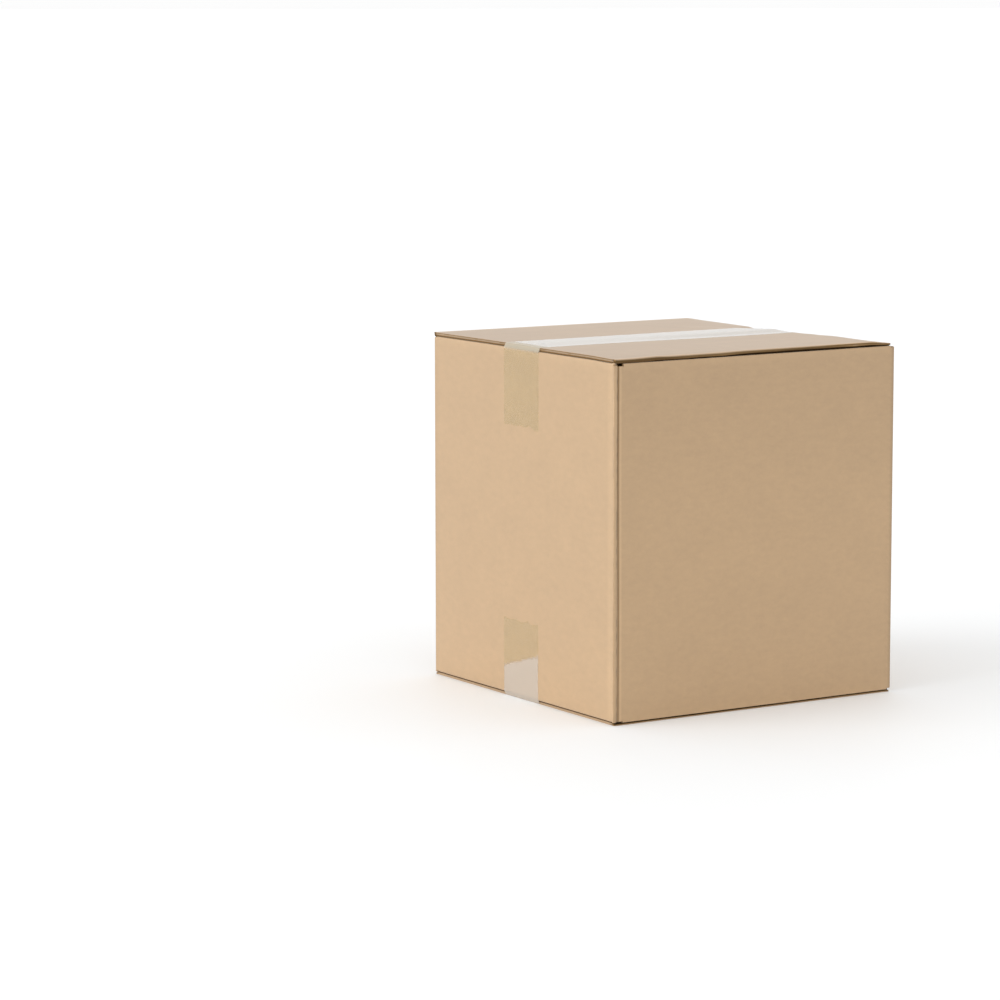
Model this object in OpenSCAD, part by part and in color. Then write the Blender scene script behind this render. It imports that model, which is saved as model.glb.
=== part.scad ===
// Closed cardboard box: a regular slotted carton folded from one corrugated blank
// and sealed top and bottom with a strip of clear packing tape.
// Frame: origin at the middle of the base, +Z up, +X along the tape, long panels at -Y and +Y.

/* [Carton] */
// Outside length of the panel tube, along the tape
box_l = 256; // [200:1:330]
// Outside width of the panel tube, across the tape
box_w = 251; // [200:1:330]
// Height of the carton over its closed flaps
box_h = 270; // [200:1:400]
// Thickness of the corrugated board
board_t = 3; // [2.6:0.1:4]

/* [Outer flaps] */
// Gap between the two outer flaps where they meet under the tape
seam_gap = 1.2; // [0.5:0.1:4]
// How far the outer flaps' cut ends stand back from the end panels
flap_inset = 1.5; // [0.5:0.1:2.5]
// Thickness of the flap's rounded nose above the crease
nose_t = 1.7; // [1.2:0.1:2]
// Height of the open crease between the nose and the panel's rim
crease_h = 1.7; // [1:0.1:2]
// Depth of that open crease into the board
crease_depth = 2; // [1.2:0.1:2.2]
// Radius of the long panel's rim below the crease
rim_r = 0.8; // [0.4:0.1:1.2]
// Thickness of the liner papers that show at a flap's cut end
liner_t = 0.5; // [0.3:0.05:0.8]
// How far the fluting stands back between the liners at a cut end
flute_recess = 0.8; // [0.3:0.1:1.5]

/* [Inner flaps] */
// Gap between the two inner flaps
inner_gap = 6; // [3:0.5:40]
// Gap between an outer flap and the inner flap under it
layer_gap = 0.3; // [0.2:0.1:1]
// Gap beside an inner flap, to the long panel
inner_side_gap = 0.8; // [0.5:0.1:3]
// Outside radius of the end panels' folds
fold_r = 2.5; // [1:0.1:2.5]

/* [Corners] */
// Outside radius of the three plain vertical corners
corner_r = 2.5; // [1:0.1:2.9]
// Radius of the long panel's fold behind the end panel's cut edge, at the glued corner
joint_r = 2.4; // [1:0.1:2.5]
// Gap at the bottom of the groove beside that cut edge
joint_gap = 0.4; // [0.2:0.1:1]
// Width of the slots cut between the flaps
slot_w = 7; // [6.2:0.1:10]
// How far the slots run past the folds, which leaves a small hole at each corner
slot_run = 1.4; // [0.8:0.1:3]

/* [Glue tab] */
// Width of the glue tab, from the long panel's inside
tab_w = 36; // [20:1:50]
// How far the tab's root stops short of the flaps
tab_end = 9; // [8:0.5:20]
// How much each end of the tab slants over its width
tab_slant = 10; // [0:1:20]

/* [Crushed end] */
// Length of the outer flaps' crushed end
crush_len = 24; // [10:1:40]
// How far the crushed end is pressed down
crush_drop = 2.2; // [0.5:0.1:2.6]

/* [Tape] */
// Width of the packing tape
tape_w = 48; // [36:1:75]
// Thickness of the tape
tape_t = 0.08; // [0.05:0.01:0.15]
// Length of the top tape's legs down the end panels
top_leg = 61.5; // [30:0.5:90]
// Length of the bottom tape's legs up the end panels
bottom_leg = 60; // [30:0.5:90]
// How far the top tape lies off the carton's middle
top_tape_y = -1; // [-5:0.1:5]
// How far the bottom tape lies off the carton's middle
bottom_tape_y = -0.6; // [-5:0.1:5]
// Drop over which the tape bridges from a flap's end to the end panel
bridge_h = 3.5; // [3.1:0.1:5]
// Spacing of the teeth on the tape's cut ends
tooth_pitch = 4; // [2:0.5:8]
// Height of those teeth
tooth_h = 1.2; // [0.5:0.1:3]

/* [Hidden] */

kraft = [0.78, 0.64, 0.48];
clear_film = [0.84, 0.8, 0.7, 0.6];

arc_steps = 6;
crush_steps = 6;
overcut = 1;

// Depths below the outer flaps' faces, at which the panels end
rim_z = nose_t + crease_h;
inner_z = board_t + layer_gap;

outer_depth = (box_w - seam_gap) / 2;
inner_depth = (box_l - inner_gap) / 2;
outer_len = box_l - 2 * flap_inset;
inner_len = box_w - 2 * (board_t + inner_side_gap);

// Points on a round stretch, from one angle to another
function arc(centre, r, a0, a1) =
    [for (i = [0:arc_steps])
        let (a = a0 + (a1 - a0) * i / arc_steps)
        centre + r * [cos(a), sin(a)]];

// A list of points in the opposite order
function reversed(points) = [for (i = [len(points) - 1:-1:0]) points[i]];

// Outer flap and its fold, as depth and distance below the face: the round nose, the open
// crease, and the web that reaches down into the panel
function outer_flap_points() = concat(
    arc([nose_t / 2, nose_t / 2], nose_t / 2, 270, 90),
    [[crease_depth, nose_t],
     [crease_depth, rim_z + slot_run],
     [board_t, rim_z + slot_run],
     [board_t, board_t],
     [outer_depth, board_t],
     [outer_depth, 0]]);

// Inner flap and its fold, a plain round of the board
function inner_flap_points() = concat(
    arc([fold_r, inner_z + fold_r], fold_r, 270, 180),
    [[board_t, inner_z + fold_r],
     [board_t, inner_z + board_t],
     [inner_depth, inner_z + board_t],
     [inner_depth, inner_z]]);

// Turns a drawing of depth and distance below the top face into depth and height
module from_top() {
    translate([0, box_h]) mirror([0, 1]) children();
}

// What lies above a panel's rim and outside the rim's round of radius r
module rim_void(r) {
    inside = board_t + overcut;
    polygon(concat(
        [[-overcut, -overcut], [inside, -overcut], [inside, 0]],
        arc([r, r], r, 270, 180),
        [[-overcut, r]]));
}

// Lays a drawing of depth and height along X, from the long panel at -Y
module along_x(length) {
    translate([-length / 2, -box_w / 2, 0])
        rotate([90, 0, 90])
            linear_extrude(length) children();
}

// Lays a drawing of depth and height along Y, from the end panel at -X
module along_y(length) {
    translate([-box_l / 2, length / 2, 0])
        rotate([90, 0, 0])
            linear_extrude(length) children();
}

// Both a shape and its mirror image
module both(axis) {
    children();
    mirror(axis) children();
}

// Both a shape at the carton's top and its mirror image at the base
module both_ends() {
    children();
    translate([0, 0, box_h]) mirror([0, 0, 1]) children();
}

// Section of the four panels, with the glued corner at -X and -Y
module tube_section() {
    x = box_l / 2;
    y = box_w / 2;
    joint_x = -x + board_t;
    difference() {
        polygon(concat(
            [[-x, -y], [joint_x, -y], [joint_x, -y + joint_r]],
            arc([joint_x + joint_gap + joint_r, -y + joint_r], joint_r, 180, 270),
            arc([x - corner_r, -y + corner_r], corner_r, 270, 360),
            arc([x - corner_r, y - corner_r], corner_r, 0, 90),
            arc([-x + corner_r, y - corner_r], corner_r, 90, 180)));
        square([box_l - 2 * board_t, box_w - 2 * board_t], center = true);
    }
}

// The four panels, with rounded rims where the flaps fold over
module panel_tube() {
    difference() {
        translate([0, 0, rim_z]) linear_extrude(box_h - 2 * rim_z) tube_section();
        both_ends() {
            both([0, 1, 0]) along_x(box_l + overcut) from_top() translate([0, rim_z]) rim_void(rim_r);
            both([1, 0, 0]) along_y(box_w + overcut) from_top() translate([0, inner_z]) rim_void(fold_r);
        }
    }
}

// Glue tab of the long panel, stuck to the inside of the end panel
module glue_tab() {
    y0 = -box_w / 2 + board_t;
    root = [tab_end, box_h - tab_end];
    tip = [tab_end + tab_slant, box_h - tab_end - tab_slant];
    translate([-box_l / 2 + board_t, 0, 0])
        rotate([90, 0, 90])
            linear_extrude(board_t)
                polygon([[y0, root[0]], [y0 + tab_w, tip[0]], [y0 + tab_w, tip[1]], [y0, root[1]]]);
}

// What the slots take out of the panels at the top: half on each side of a fold
module slot_ends() {
    z0 = box_h - rim_z - slot_run;
    for (corner = [[1, -1], [1, 1], [-1, 1]])
        translate([corner.x * box_l / 2, corner.y * box_w / 2, z0 + slot_run / 2])
            cube([slot_w, slot_w, slot_run], center = true);
    translate([-box_l / 2 + flap_inset, -box_w / 2 - overcut, z0])
        cube([slot_w, board_t + 2 * overcut, slot_run]);
}

// Height of the crushed end's face, below the flap's face, at a share of its length
function crush_z(share) = -crush_drop * share * share;

// The crushed end's face, from where it begins to the flaps' cut ends
function crush_points() = [for (i = [0:crush_steps])
    [outer_len / 2 - crush_len * (1 - i / crush_steps), crush_z(i / crush_steps)]];

// What is pressed away above the crushed end
module crush_void() {
    face = crush_points();
    last = face[crush_steps];
    translate([0, box_w / 2 + overcut, box_h])
        rotate([90, 0, 0])
            linear_extrude(box_w + 2 * overcut)
                polygon(concat(face, [[box_l, last.y], [box_l, overcut], [face[0].x, overcut]]));
}

// Fluting set back between the liners, at the cut ends of the outer flaps at -X
module cut_edge_void() {
    translate([-outer_len / 2 - overcut, -box_w / 2 + crease_depth, liner_t])
        cube([overcut + flute_recess, box_w - 2 * crease_depth, board_t - 2 * liner_t]);
}

module carton_board() {
    difference() {
        union() {
            panel_tube();
            glue_tab();
            both_ends() {
                both([0, 1, 0]) along_x(outer_len) from_top() polygon(outer_flap_points());
                both([1, 0, 0]) along_y(inner_len) from_top() polygon(inner_flap_points());
            }
        }
        both_ends() slot_ends();
        crush_void();
        both_ends() cut_edge_void();
        mirror([1, 0, 0]) cut_edge_void();
    }
}

module carton() {
    color(kraft) translate([0, 0, tape_t]) carton_board();
}

// Unit vector from one point to another, and the vector a quarter turn to its left
function direction(a, b) = (b - a) / norm(b - a);
function left_of(v) = [-v.y, v.x];

// A path moved to its left by a distance, with mitred corners
function moved_left(path, distance) = [for (i = [0:len(path) - 1])
    let (
        before = left_of(direction(path[max(i - 1, 0)], path[max(i, 1)])),
        after = left_of(direction(path[min(i, len(path) - 2)], path[min(i + 1, len(path) - 1)])))
    path[i] + distance * (before + after) / (1 + before * after)];

// Where the tape lies, from leg to leg, below the flaps' face
function tape_path(leg, face) = concat(
    [[-box_l / 2, -leg - tooth_h - overcut], [-box_l / 2, -bridge_h], [-outer_len / 2, 0]],
    face,
    [[box_l / 2, -bridge_h], [box_l / 2, -leg - tooth_h - overcut]]);

// What the dispenser's toothed blade cuts off both legs
module blade_cut(leg) {
    teeth = ceil(tape_w / tooth_pitch) + 1;
    start = -teeth * tooth_pitch / 2;
    deep = -leg - tooth_h - 2 * overcut;
    translate([-box_l, 0, 0])
        rotate([90, 0, 90])
            linear_extrude(2 * box_l)
                polygon(concat(
                    [for (i = [0:2 * teeth]) [start + i * tooth_pitch / 2, -leg - tooth_h * (i % 2)]],
                    [[-start, deep], [start, deep]]));
}

module tape_strip(leg, face) {
    path = tape_path(leg, face);
    difference() {
        translate([0, tape_w / 2, 0])
            rotate([90, 0, 0])
                linear_extrude(tape_w)
                    polygon(concat(path, reversed(moved_left(path, tape_t))));
        blade_cut(leg);
    }
}

module top_tape() {
    color(clear_film)
        translate([0, top_tape_y, tape_t + box_h])
            tape_strip(top_leg, crush_points());
}

module bottom_tape() {
    color(clear_film)
        translate([0, bottom_tape_y, tape_t])
            mirror([0, 0, 1])
                tape_strip(bottom_leg, [[outer_len / 2, 0]]);
}

carton();
top_tape();
bottom_tape();
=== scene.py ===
import math

import bmesh
import bpy
import numpy as np
from mathutils import Matrix, Vector, noise


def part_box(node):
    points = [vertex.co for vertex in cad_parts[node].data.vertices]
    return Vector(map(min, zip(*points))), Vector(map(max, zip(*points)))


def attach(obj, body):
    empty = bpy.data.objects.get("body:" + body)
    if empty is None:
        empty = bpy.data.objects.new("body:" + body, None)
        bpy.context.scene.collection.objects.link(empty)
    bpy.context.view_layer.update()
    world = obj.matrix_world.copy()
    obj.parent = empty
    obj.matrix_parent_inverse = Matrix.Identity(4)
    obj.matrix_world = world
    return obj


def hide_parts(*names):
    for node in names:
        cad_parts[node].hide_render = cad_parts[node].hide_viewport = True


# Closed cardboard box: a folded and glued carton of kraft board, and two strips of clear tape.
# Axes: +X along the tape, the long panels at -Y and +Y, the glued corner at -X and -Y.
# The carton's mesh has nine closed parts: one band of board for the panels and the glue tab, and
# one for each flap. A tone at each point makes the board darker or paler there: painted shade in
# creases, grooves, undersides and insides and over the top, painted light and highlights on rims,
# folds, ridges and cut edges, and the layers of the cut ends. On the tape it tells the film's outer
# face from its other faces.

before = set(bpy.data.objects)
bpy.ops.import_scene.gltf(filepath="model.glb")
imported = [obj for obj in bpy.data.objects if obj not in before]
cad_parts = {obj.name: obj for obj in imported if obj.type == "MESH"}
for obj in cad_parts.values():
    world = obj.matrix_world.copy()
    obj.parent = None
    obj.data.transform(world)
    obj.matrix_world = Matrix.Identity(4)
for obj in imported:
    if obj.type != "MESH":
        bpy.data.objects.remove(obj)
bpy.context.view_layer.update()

MM = 0.001
TINY = 0.01 * MM

# The carton's outside, from the frame
CARTON_LOW, CARTON_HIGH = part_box("carton")
HALF_L = CARTON_HIGH.x
HALF_W = CARTON_HIGH.y
BASE_Z = CARTON_LOW.z
TOP_Z = CARTON_HIGH.z

# Board
BOARD_T = 3 * MM
CORNER_R = 2.5 * MM
SHARP_CORNER_R = 0.8 * MM
INNER_L = HALF_L - BOARD_T
INNER_W = HALF_W - BOARD_T

# Folds: how deep the panels' rims lie under the flaps' faces, on the long sides and at the ends
TOP_RIM = 3.9 * MM
TOP_END_RIM = 3.1 * MM
BOTTOM_RIM = 1.7 * MM
BOTTOM_END_RIM = 2.5 * MM
RIM_R = 0.7 * MM
END_RIM_R = 1.6 * MM

# At the box's corners, where the slots between the flaps end, the rims lie deeper by these
SLOT_W = 7 * MM
TOP_NOTCH = 1.3 * MM
HOLE_NOTCH = 1.8 * MM
BOTTOM_NOTCH = 0.9 * MM
SHUT_NOTCH = 0.3 * MM

# Outer flaps
SEAM_GAP = 0.3 * MM
FLAP_INSET = 1.5 * MM
TOP_FLAP_T = 2.7 * MM
BOTTOM_FLAP_T = 1.9 * MM
EDGE_R = 0.35 * MM
CREASE_DEPTH = 2 * MM
FLAP_END = HALF_L - FLAP_INSET
FLAP_REACH = HALF_W - SEAM_GAP / 2
HOLE_X = -FLAP_END + SLOT_W

# Inner flaps
INNER_GAP = 6 * MM
INNER_SIDE_GAP = 0.8 * MM
INNER_HINGE_LAP = 0.05 * MM
LAYER_GAP = 0.05 * MM

# Glue tab: its ends slant, and lie this far from the carton's base and top
TAB_X = -INNER_L + 0.02 * MM
TAB_W = 36 * MM
TAB_END = 9 * MM
TAB_SLANT = 10 * MM
TAB_RIM_R = 0.1 * MM

# Groove of the glued corner, between the end panel's cut edge and the long panel
JOINT_WIDTH = 2 * MM
JOINT_DEPTH = 0.95 * MM
JOINT_GAP = 0.1 * MM
GROOVE_X = -HALF_L + BOARD_T + JOINT_GAP + JOINT_WIDTH

# Tape: its size, how far it stands off the board, its two places in y, how far below the flaps' faces
# it reaches the end panels, and the distance between the teeth of its torn ends
TAPE_W = 48 * MM
TAPE_T = 0.06 * MM
TAPE_LIFT = 0.01 * MM
TOP_TAPE_Y = -1 * MM
BOTTOM_TAPE_Y = -0.6 * MM
BRIDGE = 3.5 * MM
TOOTH_PITCH = 4 * MM

# Camera, from a fit to the box's edges in the photograph
LENS = 138.3
SENSOR = 36.0
CAMERA_PLACE = Vector((-1.67048, -2.41720, 0.55117))
CAMERA_AZIMUTH = math.radians(-32.234)
CAMERA_ELEVATION = math.radians(7.912)
CAMERA_ROLL = math.radians(-0.070)
CAMERA_SEES_TO = 50


def smooth(a, b, x):
    """0 before a, 1 after b, with a smooth rise between."""
    t = np.clip((x - a) / (b - a), 0, 1)
    return t * t * (3 - 2 * t)


def steps(a, b, size, *stops):
    """Places from a to b about one size apart, with each stop twice, for a step in shape there."""
    marks = [a, *stops, b]
    runs = [np.linspace(p, q, max(2, round(abs(q - p) / size) + 1)) for p, q in zip(marks, marks[1:])]
    return np.concatenate(runs)


def waves(places, height, size, seed):
    """Smooth waves along a line of places, up to about a height, with bumps of one size.
    The noise itself stays within about half of -1 to 1, so it is doubled."""
    return height * (np.array([noise.noise(Vector((p / size, seed, 0.5))) for p in places]) * 2)


# How the top sags

# Across the box from -Y to +Y: where the +X end starts to give way, and its depth at the cut ends
CRUSH_Y = np.array([-125.5, -70, 0, 60, 125.5]) * MM
CRUSH_START = np.array([106, 114.5, 106.5, 56, 112]) * MM
CRUSH_DEPTH = np.array([2.0, 3.3, 11.9, 3.5, 2.4]) * MM
CRUSH_POWER = 1.2

# The front flap's dip between its fold and the seam: how many mm at -X, how many more at +X, and the
# stretch of x where it grows. It goes down and up over these shares of the way from fold to seam.
FOLD_SAG = 0.05 * MM
DIP_LEAST = 0.25
DIP_GROWTH = 0.65
DIP_X = (-70 * MM, 60 * MM)
DIP_DOWN = (0, 0.8)
DIP_UP = (0.85, 1)

# Its low corner at -X, and a dent in its fold between two slopes
LOW_CORNER = 0.5 * MM
LOW_CORNER_X = (-92 * MM, -112 * MM)
LOW_CORNER_REACH = 0.3
DENT = 0.4 * MM
DENT_STARTS = (-90 * MM, -78 * MM)
DENT_ENDS = (-8 * MM, -40 * MM)
DENT_REACH = 0.07

# The rear flap sags towards its fold, and a little more towards +X
REAR_SAG = 0.84 * MM
REAR_SLOPE = 0.004
REAR_POWER = 1.5
SEAM_BLEND = 0.5 * MM

# How far the flaps can sag at the long sides before the panels' rims give way
FRONT_SPARE = 4 * MM
REAR_SPARE = 1.2 * MM


def crush(x, y):
    """How far the top is pressed down towards the flaps' cut ends at +X, most of all at the seam."""
    start = np.interp(y, CRUSH_Y, CRUSH_START)
    share = np.clip((x - start) / (FLAP_END - start), 0, 1)
    return np.interp(y, CRUSH_Y, CRUSH_DEPTH) * share ** CRUSH_POWER


def top_sag(x, y):
    """How far the top flaps' faces lie below the carton's top, at a place in plan."""
    ahead = (y + HALF_W) / FLAP_REACH
    behind = np.clip(y / FLAP_REACH, 0, 1)
    dip = (DIP_LEAST + DIP_GROWTH * smooth(*DIP_X, x)) * MM
    front = FOLD_SAG + dip * (smooth(*DIP_DOWN, ahead) - smooth(*DIP_UP, ahead))
    front = front + LOW_CORNER * smooth(*LOW_CORNER_X, x) * smooth(LOW_CORNER_REACH, 0, ahead)
    dent = smooth(*DENT_STARTS, x) * smooth(*DENT_ENDS, x)
    front = front + DENT * dent * smooth(DENT_REACH, 0, ahead)
    rear = (REAR_SAG + REAR_SLOPE * x) * behind ** REAR_POWER
    seam = smooth(-SEAM_BLEND, SEAM_BLEND, y)
    return front * (1 - seam) + rear * seam + crush(x, y)


def rim_sag(x, y):
    """How far the panels' top rims have given way under the flaps."""
    flap_x = np.clip(x, -FLAP_END, FLAP_END)
    at_end = np.abs(x) > HALF_L - BOARD_T
    at_side = np.abs(y) > HALF_W - SLOT_W / 2
    spare = np.where(y > 0, REAR_SPARE, FRONT_SPARE) * at_side
    sag = np.maximum(top_sag(flap_x, y) - spare, 0)
    return np.where(at_end | at_side, sag, top_sag(flap_x, y))


# Meshes

# Board whose tone is under this has painted shade, in creases, undersides and insides, and takes the
# matte copy of the kraft
DARK_BELOW = 0.6
# Points closer than this become one, and edges shorter than this go
WELD = 0.002 * MM
LEAST_EDGE = 0.001 * MM
# From this angle between two faces their edge looks sharp
BOARD_SHARP = 40
FILM_SHARP = 60


class Shell:
    """Gathers patches of quads and single faces, each with a tone, into one closed mesh."""

    def __init__(self):
        self.points = []
        self.tones = []
        self.faces = []
        self.count = 0

    def add(self, points, tone):
        """Adds points without faces, and gives the number of the first."""
        start = self.count
        points = np.asarray(points, float).reshape(-1, 3)
        self.points.append(points)
        self.tones.append(np.broadcast_to(tone, points.shape[:1]))
        self.count += len(points)
        return start

    def patch(self, grid, tone=1.0):
        """Quads between the rows and columns of a grid of points."""
        rows, cols = grid.shape[:2]
        start = self.add(grid, np.broadcast_to(tone, (rows, cols)).reshape(-1))
        index = start + np.arange(rows * cols).reshape(rows, cols)
        quads = np.stack([index[:-1, :-1], index[1:, :-1], index[1:, 1:], index[:-1, 1:]], -1)
        self.faces += quads.reshape(-1, 4).tolist()

    def polygon(self, points, tone):
        """One face with many sides."""
        start = self.add(points, np.broadcast_to(tone, (len(points),)))
        self.faces.append(list(range(start, start + len(points))))

    def build(self, name, materials, sharp):
        """Makes the mesh. The second material, if there is one, goes to the faces with painted shade."""
        mesh = bpy.data.meshes.new(name)
        mesh.from_pydata(np.concatenate(self.points).tolist(), [], self.faces)
        for material in materials:
            mesh.materials.append(material)
        tones = np.concatenate(self.tones)
        tone = mesh.attributes.new("tone", "FLOAT", "POINT")
        tone.data.foreach_set("value", tones.astype(np.float32))
        if len(materials) > 1:
            dark = [int(tones[face].mean() < DARK_BELOW) for face in self.faces]
            mesh.polygons.foreach_set("material_index", dark)
        work = bmesh.new()
        work.from_mesh(mesh)
        bmesh.ops.remove_doubles(work, verts=work.verts, dist=WELD)
        bmesh.ops.dissolve_degenerate(work, edges=work.edges, dist=LEAST_EDGE)
        bmesh.ops.recalc_face_normals(work, faces=work.faces)
        work.to_mesh(mesh)
        work.free()
        mesh.polygons.foreach_set("use_smooth", [True] * len(mesh.polygons))
        mesh.set_sharp_from_angle(angle=math.radians(sharp))
        piece = bpy.data.objects.new(name, mesh)
        bpy.context.scene.collection.objects.link(piece)
        return piece


# The way of the blank's panels and glue tab round the box, in plan

# Distance between points along the panels
PANEL_STEP = 4 * MM

# Rims: their depths under the flaps' faces at top and bottom, and their radius
LONG_RIM = (TOP_RIM, BOTTOM_RIM, RIM_R)
END_RIM = (TOP_END_RIM, BOTTOM_END_RIM, END_RIM_R)
HOLE_RIM = (TOP_RIM + HOLE_NOTCH, BOTTOM_RIM + BOTTOM_NOTCH, RIM_R)
SHUT_RIM = (TOP_RIM + SHUT_NOTCH, BOTTOM_RIM + SHUT_NOTCH, RIM_R)
CUT_EDGE_RIM = (TOP_RIM + 1.1 * MM, BOTTOM_RIM + 0.6 * MM, RIM_R)

# Along the crushed corner's points the rim goes from the first of these to the second, by shares
NOTCH_RIM = (TOP_RIM + TOP_NOTCH, BOTTOM_RIM + BOTTOM_NOTCH, RIM_R)
RAISED_RIM = (TOP_RIM - 0.6 * MM, BOTTOM_RIM + BOTTOM_NOTCH, RIM_R)
CRUSHED_POINTS = [0, 2, 9, 10]
CRUSHED_SHARES = [1, 0.9, 0.6, 0]

# Tones of the tab, of the folded corners and of the stretches beside them: painted shade on the tab
# inside the groove and round the corners, deepest round the crushed one
TAB_TONE = 0.7
BEND_TONE = 0.84
CRUSHED_BEND_TONE = 0.76
BESIDE_BEND_TONE = 0.95

# Tones round the groove of the glued corner, from deep inside it to the long panel's face: painted
# light deep inside, and painted shade on its curve
JOINT_TONES = [1.2, 1.1, 0.95, 0.76, 0.6, 0.56, 0.62, 0.79, 1.02]

# The long panel's ridge beside the groove: places from the groove on, and the tones there, a painted
# highlight along the ridge
RIDGE_STEP = 0.6 * MM
RIDGE_X = np.array([0, 0.4, 1.2, 2.3, 3.2]) * MM
RIDGE_TONES = [1.05, 1.2, 1.14, 0.99, 1]

# The end panel's stretch before its cut edge, with a painted highlight on its rounded corner:
# distances from the corner, and the tones there
HIGHLIGHT_Y = np.array([9, 6.5, 4, 2.5, 1]) * MM
HIGHLIGHT_TONES = [1, 1.06, 1.09, 1.07, 1.02]


def straight(start, end, size):
    """Points about one size apart from start to end of one side in plan."""
    start, end = np.array(start), np.array(end)
    length = np.linalg.norm(end - start)
    return start + np.outer(steps(0, length, size) / length, end - start)


def round_corner(centre, r, first, last, count=8):
    """Points round a corner in plan, between two angles. r is one radius or one along each axis."""
    angles = np.radians(np.linspace(first, last, count + 1))
    return np.array(centre) + np.array(r) * np.stack([np.cos(angles), np.sin(angles)], -1)


def strip(points, inner_points, rim, tone=1.0):
    """One row for each point: its outer place, its inner place, its rims and its tone."""
    inner_points = np.broadcast_to(inner_points, points.shape)
    rim = np.broadcast_to(rim, (len(points), 3))
    tone = np.broadcast_to(tone, (len(points),))[:, None]
    return np.concatenate([points, inner_points, rim, tone], 1)


def tab_strip():
    """The glue tab, inside the end panel."""
    tab = straight((TAB_X, -INNER_W + TAB_W), (TAB_X, -INNER_W), PANEL_STEP)
    end = TAB_END + TAB_SLANT * np.linspace(1, 0, len(tab))
    rim = np.stack([end, end, np.full(len(tab), TAB_RIM_R)], 1)
    return strip(tab, tab + [BOARD_T, 0], rim, TAB_TONE)


def groove_strips():
    """The glued corner's groove, and the long panel from there to its hole's end."""
    corner = np.array((TAB_X + BOARD_T, -INNER_W))
    bend = round_corner((GROOVE_X, -HALF_W + JOINT_DEPTH), (JOINT_WIDTH, JOINT_DEPTH), 180, 270)
    side = straight((GROOVE_X, -HALF_W), (HOLE_X, -HALF_W), RIDGE_STEP)
    inside = np.stack([np.maximum(side[:, 0], corner[0]), np.full(len(side), -INNER_W)], -1)
    ridge = np.interp(side[:, 0] - GROOVE_X, RIDGE_X, RIDGE_TONES)
    return [strip(bend, corner, HOLE_RIM, JOINT_TONES), strip(side, inside, HOLE_RIM, ridge)]


def corner_strip(place, first, before, after, crushed=False):
    """A folded corner from one slot's side to the other. first is the angle that its bend starts at."""
    r = SHARP_CORNER_R if crushed else CORNER_R
    bend = round_corner(np.array(place) - np.sign(place) * r, r, first, first + 90)
    points = np.concatenate([[before], bend, [after]])
    bend_tone = CRUSHED_BEND_TONE if crushed else BEND_TONE
    tone = np.concatenate([[BESIDE_BEND_TONE], np.full(len(bend), bend_tone), [BESIDE_BEND_TONE]])
    share = np.interp(np.arange(len(points)), CRUSHED_POINTS, CRUSHED_SHARES)[:, None]
    rim = np.array(NOTCH_RIM) * share + np.array(RAISED_RIM) * (1 - share) if crushed else SHUT_RIM
    limit = np.array([INNER_L, INNER_W])
    return strip(points, np.clip(points, -limit, limit), rim, tone)


def panel_path():
    """The blank's way round the box, from the glue tab's free edge to the last panel's cut edge.
    Gives for each point its outer and inner place, its rims' depths at top and bottom, their radius
    and the tone there."""
    x, y, half_slot = HALF_L, HALF_W, SLOT_W / 2
    front = straight((HOLE_X, -y), (x - half_slot, -y), PANEL_STEP)
    right = straight((x, -y + half_slot), (x, y - half_slot), PANEL_STEP)
    rear = straight((x - half_slot, y), (-x + half_slot, y), PANEL_STEP)
    left = straight((-x, y - half_slot), (-x, -y + HIGHLIGHT_Y[0]), PANEL_STEP)
    highlit = np.stack([np.full(len(HIGHLIGHT_Y), -x), -y + HIGHLIGHT_Y], 1)
    edge = np.array([(-x, -y + HIGHLIGHT_Y[-1]), (-x, -y)])
    table = np.concatenate([
        tab_strip(),
        *groove_strips(),
        strip(front, front + [0, BOARD_T], LONG_RIM),
        corner_strip((x, -y), 270, (x - half_slot, -y), (x, -y + half_slot), crushed=True),
        strip(right, right - [BOARD_T, 0], END_RIM),
        corner_strip((x, y), 0, (x, y - half_slot), (x - half_slot, y)),
        strip(rear, rear - [0, BOARD_T], LONG_RIM),
        corner_strip((-x, y), 90, (-x + half_slot, y), (-x, y - half_slot)),
        strip(left, left + [BOARD_T, 0], END_RIM),
        strip(highlit, highlit + [BOARD_T, 0], END_RIM, HIGHLIGHT_TONES),
        strip(edge, edge + [BOARD_T, 0], CUT_EDGE_RIM)])
    return table[:, :2], table[:, 2:4], *table[:, 4:].T


# The panels' walls

# Points up a wall and round a rim
PANEL_LEVELS = 50
RIM_POINTS = 8

# How far down the panels give way with their rims
YIELD_DEPTH = 45 * MM

# Towards the box's foot the groove moves by this much along x, between these places and heights
JOINT_DRIFT = 0.55 * MM
JOINT_DRIFT_X = np.array([-125, -124.5, -121, -118]) * MM
JOINT_DRIFT_SHARES = [0, 1, 1, 0]
JOINT_DRIFT_Z = (60 * MM, 200 * MM)
JOINT_DRIFT_Y = -HALF_W + 2.1 * MM

# Painted shade and light: how much darker the long panel at -Y is at its top, and how much paler the
# end panel at -X is at its foot, with the heights where that starts and ends, and the places that tell
# these panels' points
FRONT_FADE = 0.075
FRONT_FADE_Z = (130 * MM, 255 * MM)
FRONT_FACE_Y = -HALF_W + 1 * MM
END_LIFT = 0.06
END_LIFT_Z = (110 * MM, 0)
END_FACE_X = -HALF_L + 0.1 * MM

# Outer faces have a painted highlight along their rims. The board has painted shade inwards from a
# share of its thickness.
RIM_HIGHLIGHT = 0.1
RIM_HIGHLIGHT_W = 2 * MM
RIM_HIGHLIGHT_DEPTH = 1 * MM
INSIDE_DARKER = 0.8
INSIDE_FROM = 0.6

# Tones across the blank's two ends, from the outer liner inwards, and where their rims close: painted
# light on the panel's cut edge that falls to painted shade towards its inner liner, and a little
# darker where the rims close
TAB_EDGE_TONES = [1.0] * 7
PANEL_EDGE_TONES = [1.2, 1.14, 1.06, 1.0, 0.97, 0.94, 0.86]
EDGE_CORNER_TONE = 0.9


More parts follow.
